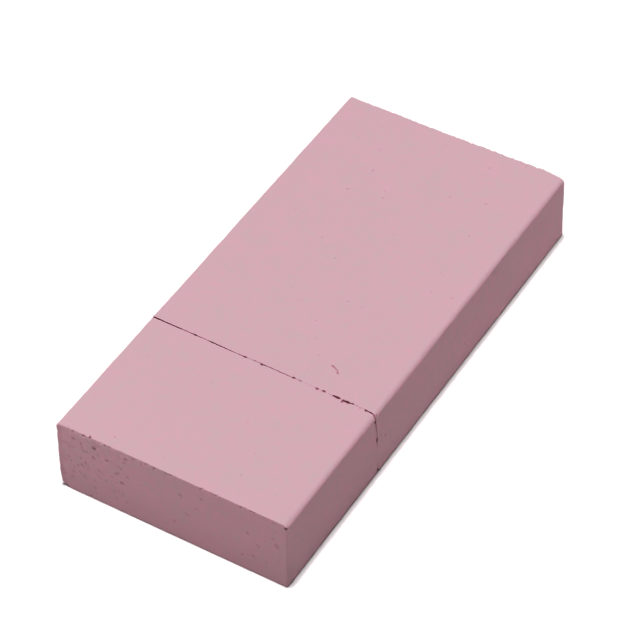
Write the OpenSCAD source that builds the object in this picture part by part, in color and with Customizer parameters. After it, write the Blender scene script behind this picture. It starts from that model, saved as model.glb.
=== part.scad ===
// Clay bar for car paint: a pressed bar of detailing clay, cut through
// with a knife at about a third of its length.
// X is the width, Y the length with the short piece at the -Y end, Z is up.
// The origin is the centre of the base.

/* [Bar] */
// Width of the bar
bar_w = 54; // [40:0.5:80]
// Length of the bar, along its base
bar_l = 117; // [90:0.5:160]
// Thickness of the bar at the near end
bar_h = 17.7; // [12:0.1:30]
// How much thinner the bar is at the far end
far_drop = 0.45; // [0:0.05:1]
// Degrees that the near end leans inwards
near_lean = 2; // [0:0.1:3]
// Degrees that the far end leans inwards
far_lean = 1.4; // [0:0.1:3]

/* [Long edges] */
// Radius of the top edge on the left
top_left_r = 0.8; // [0.4:0.1:3]
// Radius of the top edge on the right
top_right_r = 1.3; // [0.4:0.1:3]
// Radius of the bottom edge on the left
bottom_left_r = 1.5; // [0.4:0.1:3]
// Radius of the bottom edge on the right
bottom_right_r = 0.8; // [0.4:0.1:3]

/* [End edges and upright corners] */
// Radius of the top and bottom edges of the near end
near_edge_r = 0.5; // [0.2:0.1:2]
// Radius of the top and bottom edges of the far end
far_edge_r = 0.8; // [0.2:0.1:2]
// Radius of the two near upright corners, seen from above
near_corner_r = 0.5; // [0.3:0.1:3]
// Radius of the far left upright corner, seen from above
far_left_corner_r = 0.8; // [0.3:0.1:4]
// Radius of the far right upright corner, seen from above
far_right_corner_r = 0.8; // [0.3:0.1:4]

/* [Knife cut] */
// Distance of the cut from the near end, at the middle of the top
cut_from_near = 35.3; // [15:0.1:70]
// Degrees that the cut turns from square, seen from above
cut_skew = 0.6; // [-3:0.1:3]
// Degrees that the cut leans, with its foot towards the far end
cut_lean = 2.6; // [-5:0.1:5]
// Gap that the knife leaves between the two pieces
cut_gap = 0.1; // [0.05:0.05:1]

/* [Hidden] */
$fn = 64;

clay = "#d4adb6";
// Long enough to run past the bar on every side
reach = 4 * bar_l;
// Each end leans in by this much over the bar's thickness
near_inset = bar_h * tan(near_lean);
far_inset = bar_h * tan(far_lean);
cut_y = cut_from_near - bar_l / 2;

// Corners of the three outlines, anticlockwise, and the radius of each
end_points = [
    [-bar_w / 2, 0], [bar_w / 2, 0],
    [bar_w / 2, bar_h], [-bar_w / 2, bar_h]
];
end_radii = [bottom_left_r, bottom_right_r, top_right_r, top_left_r];

side_points = [
    [-bar_l / 2, 0], [bar_l / 2, 0],
    [bar_l / 2 - far_inset, bar_h - far_drop], [-bar_l / 2 + near_inset, bar_h]
];
side_radii = [near_edge_r, far_edge_r, far_edge_r, near_edge_r];

plan_points = [
    [-bar_w / 2, -bar_l / 2], [bar_w / 2, -bar_l / 2],
    [bar_w / 2, bar_l / 2], [-bar_w / 2, bar_l / 2]
];
plan_radii = [near_corner_r, near_corner_r, far_right_corner_r, far_left_corner_r];

function unit(v) = v / norm(v);

// An outline of straight sides whose corners are arcs of the given radii
module rounded_outline(points, radii) {
    last = len(points) - 1;
    corners = [
        for (i = [0:last])
            let (
                p = points[i],
                back = unit(points[i == 0 ? last : i - 1] - p),
                on = unit(points[i == last ? 0 : i + 1] - p),
                half = acos(back * on) / 2,
                run = radii[i] / tan(half)
            )
            [p + back * run, p + on * run, p + unit(back + on) * radii[i] / sin(half)]
    ];
    polygon([for (c = corners) each [c[0], c[1]]]);
    for (i = [0:last])
        translate(corners[i][2])
            circle(r = radii[i]);
}

// The whole bar: what its end, side and plan outlines have in common
module bar() {
    intersection() {
        rotate([90, 0, 0])
            linear_extrude(reach, center = true)
                rounded_outline(end_points, end_radii);
        rotate([90, 0, 90])
            linear_extrude(reach, center = true)
                rounded_outline(side_points, side_radii);
        linear_extrude(reach, center = true)
            rounded_outline(plan_points, plan_radii);
    }
}

// All that lies on one side of the cut: side is -1 for near, 1 for far
module beside_cut(side) {
    translate([0, cut_y, bar_h])
        rotate([cut_lean, 0, -cut_skew])
            translate([0, side * (reach + cut_gap) / 2, 0])
                cube(reach, center = true);
}

// The larger part of the bar, beyond the cut
module long_piece() {
    color(clay)
        intersection() {
            bar();
            beside_cut(1);
        }
}

// The part cut off, one helping of clay to knead
module short_piece() {
    color(clay)
        intersection() {
            bar();
            beside_cut(-1);
        }
}

long_piece();
short_piece();
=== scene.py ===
import math
from collections import namedtuple

import bmesh
import bpy
import numpy as np
from mathutils import Matrix, Vector
from mathutils.noise import noise as perlin


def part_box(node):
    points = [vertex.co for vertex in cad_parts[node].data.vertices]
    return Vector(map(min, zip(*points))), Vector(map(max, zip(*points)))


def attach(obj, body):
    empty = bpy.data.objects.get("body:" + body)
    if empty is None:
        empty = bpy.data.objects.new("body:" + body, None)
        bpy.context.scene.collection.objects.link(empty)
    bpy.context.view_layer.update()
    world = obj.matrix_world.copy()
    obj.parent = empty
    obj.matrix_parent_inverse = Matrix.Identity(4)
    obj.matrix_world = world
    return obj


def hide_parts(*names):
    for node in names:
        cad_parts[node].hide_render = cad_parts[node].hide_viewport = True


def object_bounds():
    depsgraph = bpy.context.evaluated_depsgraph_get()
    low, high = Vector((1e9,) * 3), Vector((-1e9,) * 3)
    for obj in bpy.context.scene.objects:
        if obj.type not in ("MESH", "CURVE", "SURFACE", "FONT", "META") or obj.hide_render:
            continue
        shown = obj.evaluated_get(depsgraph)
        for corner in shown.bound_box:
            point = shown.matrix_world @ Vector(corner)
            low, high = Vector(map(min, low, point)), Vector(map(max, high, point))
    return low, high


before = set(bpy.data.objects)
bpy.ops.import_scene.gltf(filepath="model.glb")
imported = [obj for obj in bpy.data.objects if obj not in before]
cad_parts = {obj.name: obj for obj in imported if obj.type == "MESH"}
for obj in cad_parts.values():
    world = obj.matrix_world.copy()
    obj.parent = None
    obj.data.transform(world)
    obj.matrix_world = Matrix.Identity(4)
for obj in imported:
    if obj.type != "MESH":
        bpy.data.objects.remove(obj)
CAD_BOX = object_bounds()

MM = 0.001
LOW, HIGH = (np.array(corner) / MM for corner in CAD_BOX)
WIDTH, LENGTH, HEIGHT = HIGH - LOW

# Order of a piece's six faces, the way that each one faces, and the two axes that it spans
LEFT, RIGHT, NEAR, FAR, BOTTOM, TOP = range(6)
WAYS = ((-1, 0, 0), (1, 0, 0), (0, -1, 0), (0, 1, 0), (0, 0, -1), (0, 0, 1))
SPANS = {LEFT: (1, 2), RIGHT: (1, 2), NEAR: (0, 2), FAR: (0, 2), BOTTOM: (0, 1), TOP: (0, 1)}

# Radii of the long edges, of the edges around each end, and of the lips of the cut
LONG_EDGE = {(LEFT, TOP): 0.6, (RIGHT, TOP): 1.0, (LEFT, BOTTOM): 1.3, (RIGHT, BOTTOM): 0.3}
END_EDGE = {(NEAR, TOP): 0.18, (NEAR, BOTTOM): 0.3, (FAR, TOP): 0.45, (FAR, BOTTOM): 0.6}
END_CORNER = {(NEAR, LEFT): 0.5, (NEAR, RIGHT): 0.35, (FAR, LEFT): 0.6, (FAR, RIGHT): 0.85}
LIP = 0.07
# How deep the raggedness of each end's top edge goes, and how far from the edge it reaches;
# then its strength at the left and at the right, and between which shares of the width it
# changes
RAGGED_END = {NEAR: (0.06, 0.5), FAR: (0.24, 1.0)}
RAGGED_ACROSS = {NEAR: (1, 0.2, 0.3, 0.5), FAR: (0.25, 1, 0, 0.4)}
# The same for the fine roughness of the end faces
ROUGH_ACROSS = {NEAR: (1.4, 0.3, 0.1, 0.7), FAR: (1, 1, 0, 1)}

# Corners knocked off: how far along X, Y and Z from the corner, and the rounding left
KNOCKED = {
    (NEAR, LEFT, BOTTOM): ((1.0, 0.8, 3.2), 0.8),
    (NEAR, LEFT, TOP): ((0.8, 0.5, 0.6), 0.3),
    (FAR, RIGHT, TOP): ((3.6, 1.0, 1.4), 0.6),
    (FAR, LEFT, TOP): ((0.5, 0.6, 0.6), 0.2),
    (NEAR, RIGHT, TOP): ((0.6, 0.5, 0.5), 0.25),
}

# Faces turned a little within the CAD solid: the axis along which each one sinks, and how far
# it has sunk at the end of it, or at its start if less than zero
TURNED = {LEFT: (1, -0.2), NEAR: (0, -0.3), FAR: (0, 0.15)}
# The burr that stands out along the near end's left edge, and how far it reaches
BURR, BURR_REACH = (0.19, 0.28, 0), 0.9

# Graded skin: size of its biggest cells, how often they may halve, and how fast they grow
CELL = 3.4
HALVINGS = 5
GROWTH = 0.4
CELL_AT_LIP = 0.11
CELL_AT_EDGE = 0.22
CELL_AT_END_EDGE = {NEAR: 0.11, FAR: 0.22}
CELL_AT_MARK = 0.11
CELL_ON_FACE = {LEFT: 0.85, RIGHT: 0.85, NEAR: 0.3, FAR: 0.43, BOTTOM: 1.7, TOP: 0.85}
CELL_ON_CUT = 0.45

# Edges with a bigger bend than this are shaded sharp
SHARP_ANGLE = math.radians(55)

# How far from an edge the sculpting direction starts to turn, and how the skin settles
TURN = 2.5
SETTLING_STEPS = 14
SETTLING_SHARE = 0.85

# The cut. Gap between the pieces at points along the top from the left (share of the
# width, mm), and down the right side from the top (share of the height, mm).
GAP_ALONG_TOP = (
    (0, 0.3), (0.05, 0.24), (0.13, 0.23), (0.15, 0.14), (0.19, 0.12), (0.2, 0.24), (0.21, 0.11),
    (0.25, 0.1), (0.28, 0.19), (0.34, 0.18), (0.37, 0.1), (0.385, 0.05), (0.40, 0.12), (0.44, 0.05),
    (0.52, 0.12), (0.60, 0.1), (0.68, 0.025), (0.945, 0.025), (0.955, 0.2), (1, 0.28),
)
GAP_DOWN_SIDE = (
    (0, 0.28), (0.06, 0.28), (0.09, 0.42), (0.12, 0.36), (0.15, 0.1), (0.18, 0.34), (0.28, 0.32),
    (0.36, 0.16), (0.4, 0.14), (0.415, 0.5), (0.45, 0.5), (0.47, 0.1), (0.5, 0.16), (0.56, 0.1),
    (0.58, 0.002), (0.8, 0.002), (0.85, 0.12), (0.91, 0.1), (0.93, 0.36), (0.95, 0.3), (1, 0.6),
)
GAP_UNEVENNESS = 0.45
# Waves of the cut: share of the width and of the height, reach and height in mm
CUT_WAVES = ((0.2, 1, 9, 0.03), (0.4, 1, 5, -0.1), (0.58, 1, 4, -0.07), (0.84, 1, 8, -0.27),
             (1.02, 0.93, 2.6, -0.7), (1.02, 0.35, 9, -0.45), (1.0, 0, 5, -0.3),
             (0.3, 0.3, 9, -0.25))
WAVE_REACH = 7
# How far from the cut the skin moves to open or close its lips
LIP_REACH = 2
# Left of this share of the width the knife cut clean; right of it the clay tore
TEAR_FROM, TEAR_TO = 0.38, 0.5
# Unevenness of the torn part, in coarse and in fine waves, and of the sliced part
TEAR_COARSE, TEAR_FINE, SLICED = 0.10, 0.05, 0.02

# Chips torn out along the cut's top edge: share of the width, offset towards the far side,
# then half length, half width and depth, in mm
CHIPS = (
    (0.425, 0.02, 0.45, 0.17, 0.6), (0.468, 0.05, 0.2, 0.12, 0.3), (0.5, -0.14, 0.3, 0.25, 0.5),
    (0.64, 0.0, 0.42, 0.17, 0.5), (0.67, 0.0, 0.25, 0.12, 0.3), (0.743, -0.1, 0.4, 0.25, 0.6),
    (0.771, 0.12, 0.4, 0.22, 0.6), (0.828, 0.03, 0.95, 0.24, 0.9), (0.874, -0.04, 0.8, 0.28, 0.9),
    (0.858, -0.25, 0.32, 0.42, 0.8), (0.895, 0.06, 0.5, 0.14, 0.5), (0.915, 0.1, 0.2, 0.1, 0.3),
    (0.93, -0.08, 0.35, 0.12, 0.2), (0.955, -0.1, 0.3, 0.2, 0.4), (0.998, 0.55, 0.28, 0.2, 1.0),
    (-0.008, -0.85, 0.88, 1.25, 1.5), (0.005, 0.0, 0.3, 0.25, 0.6),
)
# Chips torn out along the cut's right edge: share of the height, offset towards the far side,
# then depth, half width and half height
SIDE_CHIPS = (
    (0.89, -0.1, 0.5, 0.3, 0.5), (0.57, -0.05, 0.5, 0.34, 0.42), (0.50, 0.08, 0.3, 0.14, 0.4),
    (0.065, -0.1, 0.5, 0.24, 0.3), (0.0, 0.0, 0.6, 0.45, 0.8),
)
# Nicks in the near end's top edge: share of the width, how far out and down from the edge,
# then reach along X, Y and Z
NICKS = (
    (0.012, 0.1, 0.3, 0.6, 0.3, 0.25), (0.076, 0.1, 0.42, 0.42, 0.36, 0.32),
    (0.124, 0.15, 0.48, 0.65, 0.46, 0.42), (0.149, 0.0, 0.1, 0.23, 0.62, 0.8),
    (0.2, 0.1, 0.35, 0.35, 0.3, 0.25), (0.33, 0.1, 0.3, 0.4, 0.3, 0.2),
    (1.003, 0.15, 0.92, 0.95, 0.6, 0.5),
)

# Specks in the top, as shares of the width and of the length, and in the right side, as
# shares of the length and of the height
TOP_SPECKS = (
    (0.28, 0.765), (0.415, 0.795), (0.43, 0.775), (0.31, 0.83), (0.71, 0.945), (0.80, 0.855),
    (0.83, 0.765), (0.655, 0.84), (0.34, 0.63), (0.44, 0.595), (0.61, 0.51), (0.67, 0.51),
    (0.86, 0.603), (0.94, 0.608), (0.555, 0.44), (0.602, 0.402), (0.66, 0.37), (0.57, 0.70),
    (0.23, 0.031), (0.73, 0.065),
)
SIDE_SPECKS = ((0.75, 0.92), (0.61, 0.3), (0.33, 0.47))
SPECK_RADIUS, SPECK_DEPTH = 0.27, 0.17
# Soft dents in the near end: share of the width and of the height, and radius in mm
END_DENTS = (
    (0.110, 0.824, 0.38), (0.129, 0.741, 0.3), (0.167, 0.849, 0.55), (0.162, 0.683, 0.42),
    (0.055, 0.466, 0.28), (0.071, 0.387, 0.27), (0.123, 0.538, 0.35), (0.097, 0.35, 0.27),
    (0.060, 0.228, 0.3), (0.222, 0.745, 0.42), (0.050, 0.684, 0.25), (0.163, 0.937, 0.22),
    (0.075, 0.865, 0.45), (0.309, 0.905, 0.4), (0.285, 0.488, 0.4), (0.310, 0.617, 0.35),
)
DENT_DEPTH = 0.4
# Small teeth torn out just under the near end's top edge
TEETH, TEETH_SEED, TOOTH_DEPTH = 46, 5, 0.5
# A crease pressed into the top near the cut
CREASE = ((0.729, 0.359), (0.752, 0.356), (0.77, 0.348))
CREASE_RADIUS, CREASE_DEPTH = 0.18, 0.45

# Random pits on each face: how many, smallest and largest radius, and how they crowd
# towards the left, where 1 is evenly
PITS = {
    NEAR: (90, 0.2, 0.5, 1.6), FAR: (40, 0.15, 0.4, 1.0), TOP: (26, 0.12, 0.2, 1.0),
    LEFT: (26, 0.15, 0.35, 1.0), RIGHT: (45, 0.15, 0.3, 1.0), BOTTOM: (20, 0.2, 0.45, 1.0),
}
PIT_DEPTH = 0.25

# Gentle hollows all over, and the unevenness of worn edges: depth and wave size of each
HOLLOWS = ((0.03, 11), (0.012, 3.5))
EDGE_WEAR = ((0.02, 1.6), (0.015, 0.6))
EDGE_REACH = 1.2
# How much the edges' radii vary, and over what distance
RADIUS_VARIES = ((0.2, 5), (0.15, 1.4))
# Blotches and grain of the end faces
BLOTCH_DEPTH, GRAIN_DEPTH = 0.1, 0.025
# How far chips and pits are shaken out of round, and how big the waves of that are
SHAKE, SHAKE_SIZE = 0.08, 0.45
# How strongly a pit gets the painted shade of the chips
PIT_SHADE = 0.4

Mark = namedtuple("Mark", "start end radius depth")
Skin = namedtuple("Skin", "wear lip half_gap inset shake")
Planes = namedtuple("Planes", "normals offsets")


def smooth(low, high, x):
    """0 below low, 1 above high, and a smooth rise between."""
    t = np.clip((x - low) / (high - low), 0, 1)
    return t * t * (3 - 2 * t)


def noise(points, size, seed=0):
    """Perlin noise, about -1 to 1, with waves of about size, at each point."""
    shift = Vector((31.7, 12.9, 7.3)) * seed
    return np.array([perlin(Vector(p) + shift) for p in points / size])


def across(points):
    """Share of the width, from the left."""
    return (points[:, 0] - LOW[0]) / WIDTH


def up(points):
    """Share of the height."""
    return (points[:, 2] - LOW[2]) / HEIGHT


def changing(points, rule):
    """A strength that goes from one value on the left to another on the right."""
    left, right, start, end = rule
    return left + (right - left) * smooth(start, end, across(points))


def face_planes(node):
    """The six main planes of a CAD piece: for each way, that of the biggest face looking there."""
    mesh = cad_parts[node].data
    normals, offsets = [], []
    for way in WAYS:
        looking = [face for face in mesh.polygons if face.normal.dot(way) > 0.95]
        face = max(looking, key=lambda f: f.area)
        normals.append(face.normal)
        offsets.append(face.normal.dot(face.center) / MM)
    return Planes(np.array(normals), np.array(offsets))


def distances(planes, points):
    """How far each point lies outside each of the six planes."""
    return points @ planes.normals.T - planes.offsets


def to_edge(d):
    """Distance to the nearest edge, from the depths under the six planes."""
    pairs = np.stack([d[:, :2].min(1), d[:, 2:4].min(1), d[:, 4:].min(1)], 1)
    return np.sort(pairs, 1)[:, 1]


# --- the graded skin -----------------------------------------------------------------------

# Points around a cell, in quarters of its side: corners and mid points by turns, then those
# between them, and its centre
RING = ((0, 0), (2, 0), (4, 0), (4, 2), (4, 4), (2, 4), (0, 4), (0, 2))
BETWEEN = ((1, 0), (3, 0), (4, 1), (4, 3), (1, 4), (3, 4), (0, 1), (0, 3))
CENTRE = ((2, 2),)
SMALLEST = 4
UNIT = SMALLEST * 2**HALVINGS


def points_of(cells, quarters):
    """Lattice points of each cell (x, y, z, first axis, second axis, size) at the quarters."""
    axes = np.eye(3, dtype=np.int64)
    first, second = axes[cells[:, 3]], axes[cells[:, 4]]
    size = cells[:, 5:6]
    return np.stack([cells[:, :3] + (first * a + second * b) * size // 4 for a, b in quarters], 1)


def key(points):
    """One whole number for each lattice point."""
    return (points[..., 0] << 40) | (points[..., 1] << 20) | points[..., 2]


def split(cells, chosen):
    """The cells, with each chosen one cut into four."""
    parents = cells[chosen]
    quarters = []
    for low in points_of(parents, ((0, 0), (2, 0), (0, 2), (2, 2))).transpose(1, 0, 2):
        child = parents.copy()
        child[:, :3] = low
        child[:, 5] //= 2
        quarters.append(child)
    return np.concatenate([cells[~chosen], *quarters])


def block_cells(steps):
    """Coarse cells over the six sides of a block of that many lattice steps."""
    cells = []
    for axis in range(3):
        first, second = (k for k in range(3) if k != axis)
        for side in (0, steps[axis]):
            for a in range(0, steps[first], UNIT):
                for b in range(0, steps[second], UNIT):
                    low = [0, 0, 0]
                    low[axis], low[first], low[second] = side, a, b
                    cells.append([*low, first, second, UNIT])
    return np.array(cells, np.int64)


def graded_skin(counts, place, size_at):
    """Points and faces of a block's skin, whose cells halve until none is bigger than size_at
    asks at its place, and no cell is more than twice as big as its neighbours."""
    steps = np.array(counts) * UNIT
    cells = block_cells(steps)
    while True:
        middles = place(points_of(cells, CENTRE)[:, 0] / steps)
        too_big = (cells[:, 5] * CELL / UNIT > size_at(middles)) & (cells[:, 5] > SMALLEST)
        if not too_big.any():
            break
        cells = split(cells, too_big)
    while True:
        known = np.unique(key(points_of(cells, RING[::2])))
        uneven = np.isin(key(points_of(cells, BETWEEN)), known).any(1)
        if not uneven.any():
            break
        cells = split(cells, uneven)

    halved = np.isin(key(points_of(cells, RING[1::2])), known)
    whole = ~halved.any(1)
    faces = [key(points_of(cells[whole], RING[::2]))]
    fans, halved = cells[~whole], halved[~whole]
    ring = key(points_of(fans, RING))
    middle = key(points_of(fans, CENTRE))[:, 0]
    for side in range(4):
        start, half, end = (ring[:, (2 * side + k) % 8] for k in range(3))
        cut = halved[:, side]
        faces.append(np.stack([middle, start, half], 1)[cut])
        faces.append(np.stack([middle, half, end], 1)[cut])
        faces.append(np.stack([middle, start, end], 1)[~cut])
    used = np.unique(np.concatenate([f.ravel() for f in faces]))
    lattice = np.stack([used >> 40, (used >> 20) & 0xFFFFF, used & 0xFFFFF], 1)
    rows = [row for f in faces for row in np.searchsorted(used, f).tolist()]
    return place(lattice / steps), rows


def block_placer(planes):
    """A function that puts shares of a block into the solid between six planes."""
    corners = np.empty((2, 2, 2, 3))
    for i, j, k in np.ndindex(2, 2, 2):
        rows = [LEFT + i, NEAR + j, BOTTOM + k]
        corners[i, j, k] = np.linalg.solve(planes.normals[rows], planes.offsets[rows])

    def place(shares):
        x, y, z = (np.stack([1 - s, s], 1) for s in shares.T)
        return np.einsum("ni,nj,nk,ijkc->nc", x, y, z, corners)

    return place


# --- the cut that both pieces share --------------------------------------------------------


def cut_gap(points):
    """Gap between the two pieces: read along the top, and down the right side near it."""
    on_top = np.interp(across(points), *zip(*GAP_ALONG_TOP))
    on_side = np.interp(1 - up(points), *zip(*GAP_DOWN_SIDE))
    from_top = HIGH[2] - points[:, 2]
    from_side = HIGH[0] - points[:, 0]
    gap = on_top + (on_side - on_top) * smooth(-1.5, 1.5, from_top - from_side)
    return gap * (1 + GAP_UNEVENNESS * (noise(points, 2.3, 17) + noise(points, 0.9, 18)))


def cut_wave(points):
    """How far the cut strays from its plane, towards the far end, at points seen along Y."""
    flat = points * (1, 0, 1)
    wave = np.zeros(len(points))
    for share, rise, reach, height in CUT_WAVES:
        centre = LOW + (share * WIDTH, 0, rise * HEIGHT)
        away = np.hypot(flat[:, 0] - centre[0], flat[:, 2] - centre[2]) / reach
        wave += height * np.exp(-away * away)
    torn = smooth(TEAR_FROM, TEAR_TO, across(points))
    wave += torn * TEAR_COARSE * noise(flat, 1.9, 1)
    wave += torn * TEAR_FINE * noise(flat, 0.7, 2)
    wave += (1 - torn) * SLICED * noise(flat, (0.5, 1, 12), 3)
    return wave


# --- one piece -----------------------------------------------------------------------------


class Piece:
    """One piece of the bar: its planes, which end is the cut, and the marks on it."""

    def __init__(self, node, cut):
        self.node = node
        self.cut = cut
        self.end = NEAR + FAR - cut
        self.planes = face_planes(node)
        self.turn_faces()
        self.place = block_placer(self.planes)
        self.marks = self.placed_marks() + self.random_pits()
        self.chips = [(self.top_edge(cut, share, offset), radii)
                      for share, offset, *radii in CHIPS]
        self.chips += [(self.edge_point((RIGHT, cut), 2, share) + (0, offset, 0), radii)
                       for share, offset, *radii in SIDE_CHIPS]
        if self.end == NEAR:
            self.chips += [(self.top_edge(NEAR, share) - (0, out, drop), radii)
                           for share, out, drop, *radii in NICKS]

    def turn_faces(self):
        """Turn the planes of the bar's own faces about one end of each."""
        for face, (axis, sunk) in TURNED.items():
            if face != self.cut:
                slope = sunk / (HIGH - LOW)[axis]
                self.planes.normals[face, axis] += slope
                self.planes.offsets[face] += slope * (LOW if slope > 0 else HIGH)[axis]

    def edge_point(self, faces, axis, share):
        """The point of the edge between two faces at a share of the bar's box along an axis."""
        normals = np.vstack([self.planes.normals[list(faces)], np.eye(3)[axis]])
        level = LOW[axis] + share * (HIGH - LOW)[axis]
        return np.linalg.solve(normals, [*self.planes.offsets[list(faces)], level])

    def top_edge(self, face, share, offset=0.0):
        """The point of a face's top edge at a share of the width, moved along Y by offset."""
        return self.edge_point((face, TOP), 0, share) + (0, offset, 0)

    def on_face(self, face, shares):
        """The point of a face at two shares of the bar's box."""
        point = np.zeros(3)
        for axis, share in zip(SPANS[face], shares):
            point[axis] = LOW[axis] + share * (HIGH - LOW)[axis]
        normal = self.planes.normals[face]
        point[face // 2] = (self.planes.offsets[face] - normal @ point) / normal[face // 2]
        return point

    def placed_marks(self):
        """The specks, the crease and the near end's dents."""
        crease = [self.on_face(TOP, shares) for shares in CREASE]
        marks = [Mark(*ends, CREASE_RADIUS, CREASE_DEPTH) for ends in zip(crease, crease[1:])]
        for face, specks in ((TOP, TOP_SPECKS), (RIGHT, SIDE_SPECKS)):
            for shares in specks:
                place = self.on_face(face, shares)
                marks.append(Mark(place, place, SPECK_RADIUS, SPECK_DEPTH))
        if self.end == NEAR:
            for *shares, radius in END_DENTS:
                place = self.on_face(NEAR, shares)
                marks.append(Mark(place, place, 1.2 * radius, DENT_DEPTH * radius))
            pick = np.random.default_rng(TEETH_SEED)
            for _ in range(TEETH):
                place = self.top_edge(NEAR, pick.random()) - (0, 0, pick.uniform(0.1, 0.7))
                radius = pick.uniform(0.18, 0.34)
                marks.append(Mark(place, place, radius, TOOTH_DEPTH * radius))
        return marks

    def random_pits(self):
        """Small pits all over the faces that were the bar's own."""
        marks = []
        for face, (count, smallest, largest, crowding) in PITS.items():
            if face == self.cut:
                continue
            pick = np.random.default_rng(face)
            for _ in range(count):
                first, second = pick.random(2)
                start = self.on_face(face, (first**crowding, 0.03 + 0.94 * second))
                radius = smallest + (largest - smallest) * pick.random() ** 2
                stray = np.zeros(3)
                stray[list(SPANS[face])] = pick.uniform(-radius, radius, 2)
                marks.append(Mark(start, start + stray, radius, PIT_DEPTH * radius))
        return marks

    def size_at(self, points):
        """Size that the skin's cells should have around each point."""
        d = -distances(self.planes, points)
        others = np.delete(d, self.cut, 1).min(1)
        to_lip = np.maximum(d[:, self.cut], others)
        on_faces = np.array([CELL_ON_FACE[face] for face in range(6)])
        on_faces[self.cut] = CELL_ON_CUT
        size = on_faces[d.argmin(1)]
        size = np.minimum(size, CELL_AT_EDGE + GROWTH * to_edge(d))
        size = np.minimum(size, CELL_AT_LIP + GROWTH * to_lip)
        to_end_edge = np.maximum(d[:, self.end], d[:, TOP])
        size = np.minimum(size, CELL_AT_END_EDGE[self.end] + GROWTH * to_end_edge)
        for centre, reach in self.fine_places():
            away = np.abs(points - centre).max(1) - reach
            close = away < CELL
            wanted = CELL_AT_MARK + GROWTH * np.clip(away[close], 0, None)
            size[close] = np.minimum(size[close], wanted)
        return size

    def fine_places(self):
        """Centre and reach of each small mark that needs fine cells."""
        for centre, radii in self.chips:
            yield centre, max(radii)
        for mark in self.marks:
            yield (mark.start + mark.end) / 2, mark.radius

    def outline(self, points, skin):
        """Signed distance to the piece, before chips, with worn edges."""
        d = distances(self.planes, points)
        d[:, self.cut] += skin.half_gap
        x_side = np.where(d[:, LEFT] > d[:, RIGHT], LEFT, RIGHT)
        z_side = np.where(d[:, BOTTOM] > d[:, TOP], BOTTOM, TOP)
        long_radius, end_radius, corner_radius = np.zeros((3, len(points)))
        for level in (BOTTOM, TOP):
            end_radius[z_side == level] = END_EDGE[self.end, level]
        for side in (LEFT, RIGHT):
            corner_radius[x_side == side] = END_CORNER[self.end, side]
            for level in (BOTTOM, TOP):
                long_radius[(x_side == side) & (z_side == level)] = LONG_EDGE[side, level]
        x, z = d[:, :2].max(1), d[:, 4:].max(1)
        tube = fillet(x, z, long_radius * skin.wear)
        end_radius += (corner_radius - end_radius) * smooth(-1, 1, x - z)
        ended = fillet(tube, d[:, self.end], end_radius * skin.wear)
        for corner, (reaches, rounding) in KNOCKED.items():
            if self.end in corner:
                inward = -d[:, corner_planes(corner)] / reaches
                slope = np.linalg.norm(1 / np.array(reaches))
                ended = fillet(ended, (1 - inward.sum(1)) / slope, rounding * skin.wear)
        return fillet(ended, d[:, self.cut], skin.lip)

    def field(self, points, skin):
        """Signed distance to the sculpted piece."""
        distance = self.outline(points, skin) + skin.inset
        shaken = points + skin.shake
        for centre, radii in self.chips:
            close = np.abs(points - centre).max(1) < 1.5 * max(radii)
            inside = 1 - np.linalg.norm((shaken[close] - centre) / radii, axis=1)
            distance[close] = np.maximum(distance[close], inside * min(radii))
        return distance

    def sculpt(self):
        """Points and faces of the finished piece, how much painted shade its chips and pits get,
        and how raw each point is.
        """
        points, faces = graded_skin(self.counts(), self.place, self.size_at)
        d = -distances(self.planes, points)
        gap = cut_gap(points)
        half_gap = (gap - self.cad_gap) / 2
        opening = half_gap * (1 - smooth(0, LIP_REACH, d[:, self.cut]))
        points = points - np.outer(opening, self.planes.normals[self.cut])
        ways = np.clip(TURN - d, 0, None) @ self.planes.normals
        ways /= np.linalg.norm(ways, axis=1, keepdims=True)
        shake = np.stack([noise(points, SHAKE_SIZE, seed) for seed in (6, 7, 8)], 1) * SHAKE
        grooves = self.grooves(points + 3 * shake)
        skin = Skin(
            wear=1 + sum(part * noise(points, size, seed)
                         for seed, (part, size) in enumerate(RADIUS_VARIES, 4)),
            lip=LIP * (0.1 + 0.9 * smooth(0.02, 0.15, gap)),
            half_gap=half_gap,
            inset=self.inset(points, d) + grooves,
            shake=shake,
        )
        depth = np.zeros(len(points))
        for _ in range(SETTLING_STEPS):
            depth += SETTLING_SHARE * self.field(points - ways * depth[:, None], skin)
        points = points - ways * depth[:, None]
        chipped = smooth(0.03, 0.15, -self.outline(points, skin) - skin.inset)
        # Painted shade: chips, and more faintly pits, are darkened and reddened in the material by
        # this value
        torn = np.maximum(chipped, PIT_SHADE * smooth(0.01, 0.12, grooves))
        raw = 1 - smooth(0.02, 0.1, d[:, self.cut])
        fade = 1 - smooth(0, WAVE_REACH, np.abs(distances(self.planes, points)[:, self.cut]))
        points[:, 1] += cut_wave(points) * fade
        if self.end == NEAR:
            at_burr = 1 - smooth(0, BURR_REACH, d[:, [LEFT, NEAR]])
            points -= np.outer(at_burr.prod(1), BURR)
        return points, faces, {"torn": torn, "raw": raw}

    def grooves(self, points):
        """Depth of the pits and scratches at each point."""
        depth = np.zeros(len(points))
        for mark in self.marks:
            close = np.abs(points - mark.start).max(1) < CELL
            along = mark.end - mark.start
            from_start = points[close] - mark.start
            share = np.clip(from_start @ along / max(along @ along, 1e-9), 0, 1)
            away = np.linalg.norm(from_start - share[:, None] * along, axis=1) / mark.radius
            depth[close] = np.maximum(depth[close], mark.depth * (1 - smooth(0.2, 1.2, away)))
        return depth

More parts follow.
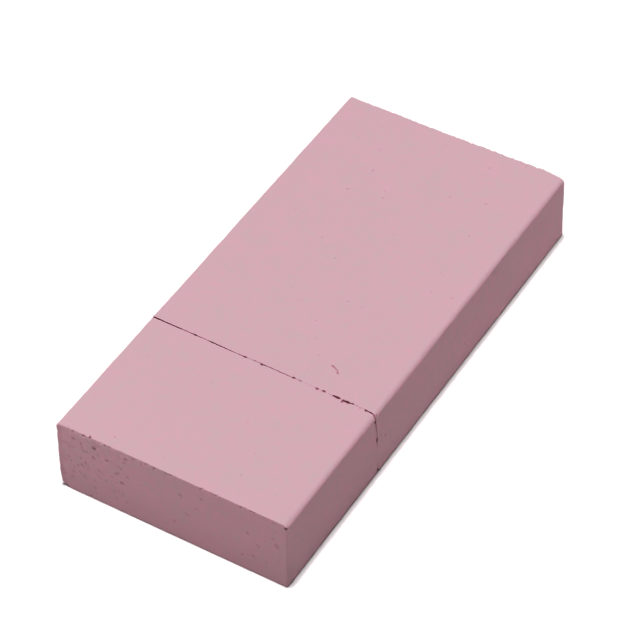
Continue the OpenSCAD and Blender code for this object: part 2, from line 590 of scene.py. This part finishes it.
    def inset(self, points, d):
        """How far the skin lies inside its planes: gentle hollows, and ragged edges."""
        at_edge = 1 - smooth(0, EDGE_REACH, to_edge(d))
        ragged_depth, ragged_reach = RAGGED_END[self.end]
        to_end_edge = np.maximum(d[:, self.end], d[:, TOP])
        at_end_edge = ragged_depth * (1 - smooth(0, ragged_reach, to_end_edge))
        at_end_edge *= changing(points, RAGGED_ACROSS[self.end])
        off_base = smooth(0, 0.5, d[:, BOTTOM])
        off_cut = smooth(0, 1, d[:, self.cut])
        hollows, ragged = (
            sum(depth * (1 + noise(points, size, seed))
                for seed, (depth, size) in enumerate(waves, first_seed))
            for waves, first_seed in ((HOLLOWS, 9), (EDGE_WEAR, 11))
        )
        ragged_end = 1 + 0.6 * noise(points, 0.8, 13) + 0.6 * noise(points, 0.4, 14)
        rough_end = (1 - smooth(0, 0.5, d[:, self.end])) * smooth(0.2, 1.4, d[:, :2].min(1))
        return off_base * (
            off_cut * (hollows + at_edge * ragged)
            + at_end_edge * ragged_end
            + rough_end * self.end_roughness(points)
        )

    def end_roughness(self, points):
        """Depth of the fine roughness of the end face: more on the left of the near one."""
        amount = changing(points, ROUGH_ACROSS[self.end])
        clusters = noise(points, 1.3, 15) + 0.4 * noise(points, 3.5, 19)
        blotches = BLOTCH_DEPTH * smooth(0.1, 0.8, clusters)
        return amount * (blotches + GRAIN_DEPTH * (1 + noise(points, 0.5, 16)))

    def counts(self):
        """Coarse cells along each side of the piece."""
        low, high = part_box(self.node)
        return [max(1, round(side / MM / CELL)) for side in high - low]


def corner_planes(corner):
    """A corner's three faces in the order of their axes."""
    return sorted(corner, key=lambda face: face // 2)


def fillet(a, b, radius):
    """Signed distance to what two solids share, with the edge between them rounded."""
    outside = np.hypot(np.clip(a + radius, 0, None), np.clip(b + radius, 0, None))
    return np.minimum(np.maximum(a, b), -radius) + outside


def mesh_object(name, points, faces, material, values=()):
    """An object of points in mm, smooth but for its sharp edges, with values at its points."""
    mesh = bpy.data.meshes.new(name)
    mesh.from_pydata((points * MM).tolist(), [], faces)
    work = bmesh.new()
    work.from_mesh(mesh)
    bmesh.ops.recalc_face_normals(work, faces=work.faces)
    for face in work.faces:
        face.smooth = True
    for edge in work.edges:
        edge.smooth = edge.calc_face_angle(0) < SHARP_ANGLE
    work.to_mesh(mesh)
    work.free()
    mesh.materials.append(material)
    for title, numbers in dict(values).items():
        mesh.attributes.new(title, "FLOAT", "POINT").data.foreach_set("value", numbers)
    obj = bpy.data.objects.new(name, mesh)
    bpy.context.scene.collection.objects.link(obj)
    return obj


# --- materials -----------------------------------------------------------------------------


class Tree:
    """A material's nodes, made and linked in one call each."""

    def __init__(self, name):
        self.material = bpy.data.materials.new(name)
        self.material.use_nodes = True
        self.tree = self.material.node_tree
        self.shader = self.tree.nodes["Principled BSDF"]

    def add(self, kind, settings=(), **inputs):
        """A new node with its settings, and its inputs by name, with _ for a space."""
        node = self.tree.nodes.new(kind)
        for name, value in dict(settings).items():
            setattr(node, name, value)
        for name, value in inputs.items():
            self.set(node, name.replace("_", " "), value)
        return node

    def maths(self, operation, *values):
        """What a maths node makes of two or three values."""
        node = self.add("ShaderNodeMath", {"operation": operation})
        for place, value in enumerate(values):
            self.set(node, str(place), value)
        return node.outputs[0]

    def falling(self, value, start, end, strength=1):
        """A value that is strength up to start, and falls to 0 at end."""
        node = self.add("ShaderNodeMapRange", Value=value, From_Min=start, From_Max=end,
                        To_Min=strength)
        self.set(node, "To Max", 0)
        return node.outputs[0]

    def mix(self, factor, first, second):
        """Colour between two others, which are the mix node's inputs 6 and 7."""
        node = self.add("ShaderNodeMix", {"data_type": "RGBA"}, Factor=factor)
        self.set(node, "6", first)
        self.set(node, "7", second)
        return node.outputs[2]

    def set(self, node, name, value):
        """Give an input, by name or number, a value or a link."""
        socket = node.inputs[int(name)] if name.isdigit() else node.inputs[name]
        if isinstance(value, bpy.types.NodeSocket):
            self.tree.links.new(value, socket)
        else:
            socket.default_value = value


# The clay's colours, and how strongly two of them cover what is under them. The colours for
# the foot and for chips and pits are painted shade.
PINK, GREY = (0.632, 0.373, 0.429, 1), (0.569, 0.387, 0.422, 1)
DARK_SPECK, FOOT_SHADE = (0.36, 0.24, 0.28, 1), (0.30, 0.185, 0.21, 1)
FRESHLY_CUT, CHIP_SHADE = (0.60, 0.35, 0.41, 1), (0.42, 0.21, 0.26, 1)
SPECK_STRENGTH, CHIP_SHADE_STRENGTH = 0.35, 0.65
# Painted shade along the foot, in two layers: the two places along the bar in mm between which
# each one fades to nothing, and its strength up to there. Then how fast both fade upwards.
FOOT_SHADE_LAYERS = ((-58, -55, 0.2), (-33, -8, 0.2))
FOOT_FADE = 2.8


def clay_material():
    """Matt pink clay with faint grey mottling, fine grain and a few dark specks. It is darker and
    redder where freshly cut. Painted shade makes its chips and pits darker and redder, and its
    foot darker towards the bottom, most at the near end."""
    t = Tree("clay")
    place = t.add("ShaderNodeTexCoord").outputs["Object"]
    mottle = t.add("ShaderNodeTexNoise", Vector=place, Scale=600, Detail=5, Roughness=0.72)
    patches = t.add("ShaderNodeTexNoise", Vector=place, Scale=110, Detail=2, Roughness=0.5)
    both = t.maths("MULTIPLY_ADD", patches.outputs["Fac"], 0.35, mottle.outputs["Fac"])
    tint = t.add("ShaderNodeMapRange", Value=both, From_Min=0.5, From_Max=0.85)
    base = t.mix(tint.outputs[0], PINK, GREY)

    cells = t.add("ShaderNodeTexVoronoi", Vector=place, Scale=330, Randomness=1)
    dot = t.falling(cells.outputs["Distance"], 0.05, 0.1)
    shade = t.add("ShaderNodeSeparateColor", Color=cells.outputs["Color"])
    chosen = t.add("ShaderNodeMapRange", Value=shade.outputs[0], From_Min=0.7, From_Max=1)
    speck = t.maths("MULTIPLY", dot, chosen.outputs[0])
    faint = t.maths("MULTIPLY", speck, SPECK_STRENGTH)
    base = t.mix(faint, base, DARK_SPECK)

    # Painted shade: the foot darker towards the bottom, most at the near end
    spot = t.add("ShaderNodeSeparateXYZ", Vector=place)
    foot = t.maths("POWER", t.falling(spot.outputs["Z"], 0, HIGH[2] * MM), FOOT_FADE)
    for start, end, strength in FOOT_SHADE_LAYERS:
        near = t.falling(spot.outputs["Y"], start * MM, end * MM, strength)
        painted_foot_shade = t.maths("MULTIPLY", foot, near)
        base = t.mix(painted_foot_shade, base, FOOT_SHADE)

    raw = t.add("ShaderNodeAttribute", {"attribute_name": "raw"}).outputs["Fac"]
    base = t.mix(raw, base, FRESHLY_CUT)
    # Painted shade: chips and pits darker and redder
    torn = t.add("ShaderNodeAttribute", {"attribute_name": "torn"}).outputs["Fac"]
    fade = t.maths("MULTIPLY", torn, CHIP_SHADE_STRENGTH)
    base = t.mix(fade, base, CHIP_SHADE)
    t.set(t.shader, "Base Color", base)

    rough = t.add("ShaderNodeMapRange", Value=mottle.outputs["Fac"], To_Min=0.62, To_Max=0.78)
    t.set(t.shader, "Roughness", rough.outputs[0])
    grain = t.add("ShaderNodeTexNoise", Vector=place, Scale=1800, Detail=3, Roughness=0.6)
    bump = t.add("ShaderNodeBump", Height=grain.outputs["Fac"], Strength=0.35, Distance=0.00006)
    t.set(t.shader, "Normal", bump.outputs["Normal"])
    t.set(t.shader, "Specular IOR Level", 0.15)
    return t.material


PAPER = (0.79, 0.79, 0.79, 1), (0.81, 0.81, 0.81, 1)


def floor_material():
    """Plain near-white paper."""
    t = Tree("paper")
    place = t.add("ShaderNodeTexCoord").outputs["Object"]
    fibre = t.add("ShaderNodeTexNoise", Vector=place, Scale=900, Detail=2)
    tint = t.mix(fibre.outputs["Fac"], *PAPER)
    t.set(t.shader, "Base Color", tint)
    t.set(t.shader, "Roughness", 0.9)
    t.set(t.shader, "Specular IOR Level", 0.1)
    return t.material


# --- stage, light and camera ---------------------------------------------------------------

# A camera's gentle contrast: darker tones shown darker than they are, and the floor white
CONTRAST = ((0.10, 0.06), (0.20, 0.145), (0.30, 0.255), (0.36, 0.33), (0.42, 0.41),
            (0.47, 0.467), (0.655, 0.655), (0.72, 0.73), (0.84, 1.0))

# Suns: the way to each one, its energy, and its width in degrees
SUNS = {
    "overhead": ((-0.02, 0, 1), 3.22, 8),
    "front_fill": ((-0.5, -0.8, 0.4), 0.2, 60),
}
# Small soft lamps low beyond two corners of the bar: the corner, the lamp's place from there
# in mm, its power and its size
LAMPS = {
    "far_fill": ((RIGHT, FAR), (133, 142, 60), 0.04, 80),
    "near_fill": ((LEFT, NEAR), (-80, -60, 40), 0.012, 50),
}

# Each lamp looks at the corner's place, moved towards the middle by these factors
LAMP_AIM = (1, 0.9, 1)
# The pale room: bright at the horizon up to a height, then dark
ROOM = ((0.06, (1, 1, 1, 1)), (0.08, (0.02, 0.02, 0.02, 1)))

FLOOR_HALF = 6000
FLOOR_DROP = 0.02

# The camera: its way from the aim, its roll, its distance in mm, and its lens
AZIMUTH, ELEVATION, ROLL = 31.78, 44.95, -1.25
DISTANCE = 591.4
AIM_FROM_CENTRE = (-0.76, 0.49, 0.39)
LENS, SENSOR = 158.9, 36


def add_floor():
    """A wide pale floor just under the bar."""
    reach = np.array([(-1, -1), (1, -1), (1, 1), (-1, 1)]) * FLOOR_HALF
    points = np.column_stack([reach, np.full(4, LOW[2] - FLOOR_DROP)])
    floor = mesh_object("floor", points, [[0, 1, 2, 3]], floor_material())


def add_lamp(name, kind, place, aim, energy):
    """A lamp that looks from one point in mm at another."""
    light = bpy.data.lights.new(name, kind)
    light.energy = energy
    lamp = bpy.data.objects.new(name, light)
    facing = (Vector(aim) - Vector(place)).to_track_quat("-Z", "Y").to_matrix().to_4x4()
    lamp.matrix_world = Matrix.Translation(Vector(place) * MM) @ facing
    bpy.context.scene.collection.objects.link(lamp)
    return light


def add_lights():
    """A wide soft light overhead, weak fills, and a pale room around."""
    for name, (way, energy, width) in SUNS.items():
        add_lamp(name, "SUN", way, (0, 0, 0), energy).angle = math.radians(width)
    for name, ((x_side, y_side), away, power, size) in LAMPS.items():
        corner = np.array(((LOW, HIGH)[x_side % 2][0], (LOW, HIGH)[y_side % 2][1], HEIGHT / 2))
        add_lamp(name, "AREA", corner + away, corner * LAMP_AIM, power).size = size * MM

    world = bpy.data.worlds.new("room")
    bpy.context.scene.world = world
    world.use_nodes = True
    nodes, links = world.node_tree.nodes, world.node_tree.links
    background = nodes["Background"]
    coordinate = nodes.new("ShaderNodeTexCoord")
    height = nodes.new("ShaderNodeSeparateXYZ")
    ramp = nodes.new("ShaderNodeValToRGB")
    for stop, (position, colour) in zip(ramp.color_ramp.elements, ROOM):
        stop.position, stop.color = position, colour
    links.new(coordinate.outputs["Generated"], height.inputs[0])
    links.new(height.outputs["Z"], ramp.inputs["Fac"])
    links.new(ramp.outputs["Color"], background.inputs["Color"])


def add_camera():
    """A long lens that looks down on the bar's near right corner."""
    turn, tilt = math.radians(AZIMUTH), math.radians(ELEVATION)
    level = Vector((math.sin(turn), -math.cos(turn), 0))
    outward = level * math.cos(tilt) + Vector((0, 0, math.sin(tilt)))
    aim = Vector((LOW + HIGH) / 2) + Vector(AIM_FROM_CENTRE)
    data = bpy.data.cameras.new("camera")
    data.lens = LENS
    data.sensor_width = SENSOR
    camera = bpy.data.objects.new("camera", data)
    facing = (-outward).to_track_quat("-Z", "Y").to_matrix()
    facing = facing @ Matrix.Rotation(math.radians(ROLL), 3, "Z")
    camera.matrix_world = Matrix.Translation((aim + outward * DISTANCE) * MM) @ facing.to_4x4()
    bpy.context.scene.collection.objects.link(camera)
    bpy.context.scene.camera = camera


def set_colours():
    """Plain colours, with no film look."""
    view = bpy.context.scene.view_settings
    view.view_transform = "Standard"
    view.look = "None"
    view.exposure = 0
    view.gamma = 1
    view.use_curve_mapping = True
    curve = view.curve_mapping.curves[3]
    for level, shown in CONTRAST:
        curve.points.new(level, shown)
    view.curve_mapping.update()


def add_pieces():
    """The two pieces of clay, each standing for its CAD solid."""
    clay = clay_material()
    pieces = [Piece("long_piece", NEAR), Piece("short_piece", FAR)]
    middles = [piece.top_edge(piece.cut, 0.5)[1] for piece in pieces]
    for piece in pieces:
        piece.cad_gap = middles[0] - middles[1]
        points, faces, values = piece.sculpt()
        obj = mesh_object(piece.node + "_clay", points, faces, clay, values)
        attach(obj, piece.node)
        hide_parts(piece.node)
        print(piece.node, len(points), "points", len(faces), "faces",
              sum(len(f) - 2 for f in faces), "triangles")


add_camera()
add_lights()
add_floor()
set_colours()
add_pieces()
